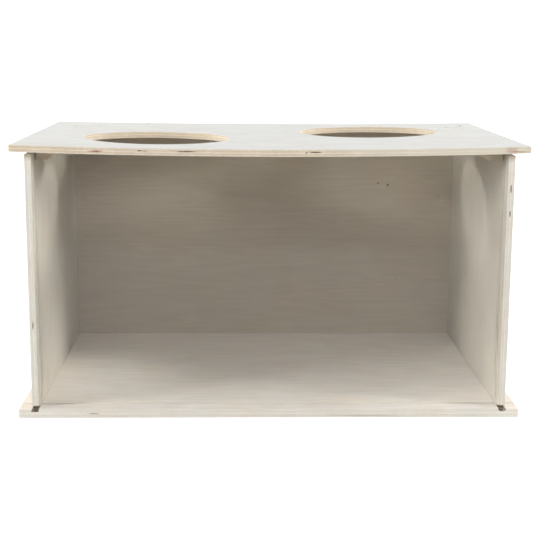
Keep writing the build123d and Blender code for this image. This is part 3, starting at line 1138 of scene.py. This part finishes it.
# %% Fibres in each mouth
FIBRES_PER_MOUTH = 34
GROOVE_DEPTH = 3.0
for name, middle in panel_middles.items():
    fibres = bmesh.new()
    dice = random.Random(name)
    for _ in range(FIBRES_PER_MOUTH):
        groove_side = dice.uniform(-1, 1)
        on_wall = abs(groove_side) > 0.55
        x = middle + (math.copysign(wall / 2 + 0.15, groove_side) if on_wall else groove_side * wall / 2)
        level = base_high.z - (dice.uniform(0.4, GROOVE_DEPTH) if on_wall else GROOVE_DEPTH + 0.1)
        root = Vector((x, base_low.y + dice.uniform(0.3, 5.0), level))
        sway = -math.copysign(dice.uniform(0.3, 2.2), groove_side)
        tip = root + Vector((sway, dice.uniform(-1.6, 0.9), dice.uniform(0.2, 1.9)))
        tip.z = min(tip.z, base_high.z - 0.2)
        tip.y = max(tip.y, base_low.y - 0.5)
        splinter(fibres, root, tip, Vector((dice.uniform(-1, 1), 1, dice.uniform(-1, 1))),
                 dice.uniform(0.25, 0.8), dice.uniform(-0.4, 0.4))
    add_piece(name.replace("side_panel", "torn_fibres"), fibres, "box", torn_material)

# %% [markdown]
# ## Sawdust on the clear sheet
#
# Acrylic is charged by every wipe, and holds pale dust. The flecks are what make the sheet visible at all
# from in front. A noise in the sheet's roughness would cloud the plain glass that an export needs, so the
# dust is made as what it is: chips of wood, a third of a millimetre across, that stick to both faces. A few
# thin curls near the top right lie in one direction, where a cloth has dragged them.

# %% Sawdust
DUST_WHITE = paint(226, 220, 208)
pane_low, pane_high = (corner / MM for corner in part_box("front_pane"))
dust_material, wiring, shader = new_material("sawdust")
grit = wiring.noise(wiring.in_millimetres(), detail=2, size=0.15)
wiring.fill(shader, {
    "Base Color": wiring.scale(DUST_WHITE[:3], wiring.total(1.0, wiring.swing(grit, 0.12))),
    "Roughness": wiring.total(0.7, wiring.swing(grit, 0.1)),
})


def fleck(dust, x, z, size, dice):
    """Adds one chip of wood to a random face of the sheet."""
    face, out = (pane_low.y, -1) if dice.random() < 0.5 else (pane_high.y, 1)
    turned = Matrix.Rotation(dice.uniform(0, math.tau), 3, "Y")
    for vert in bmesh.ops.create_icosphere(dust, subdivisions=1, radius=1.0)["verts"]:
        rough = vert.co * dice.uniform(0.6, 1.2)
        lump = turned @ Vector((rough.x * size / 2, rough.y * size / 5, rough.z * size / 3))
        vert.co = (Vector((x, face + out * size / 7, z)) + lump) * MM


LARGE_FLECKS = ((-186, 237, 0.9), (-111, 288, 0.8), (-39, 263, 0.7), (-45, 266, 0.5))
WIPED_FLECKS = 26
STRAY_FLECKS = 110
DUST_CURLS = 9
CURL_WIDTH = 0.16
dust = bmesh.new()
dice = random.Random(12)
for x, z, size in LARGE_FLECKS:
    fleck(dust, x, z, size, dice)
for _ in range(WIPED_FLECKS):
    fleck(dust, dice.gauss(192, 5), dice.gauss(248, 7), dice.uniform(0.2, 0.5), dice)
for _ in range(STRAY_FLECKS):
    x = dice.uniform(pane_low.x + 10, pane_high.x - 10)
    z = pane_low.z + 8 + (pane_high.z - pane_low.z - 20) * dice.random() ** 0.7
    fleck(dust, x, z, dice.uniform(0.15, 0.5), dice)
for _ in range(DUST_CURLS):
    root = Vector((dice.gauss(193, 3), pane_low.y - 0.05, dice.gauss(247, 4)))
    tip = root + Vector((dice.uniform(-1.5, 1.5), 0, dice.uniform(3, 7)))
    splinter(dust, root, tip, X, CURL_WIDTH, dice.uniform(-0.1, 0))
add_piece("pane_sawdust", dust, "pane", dust_material)
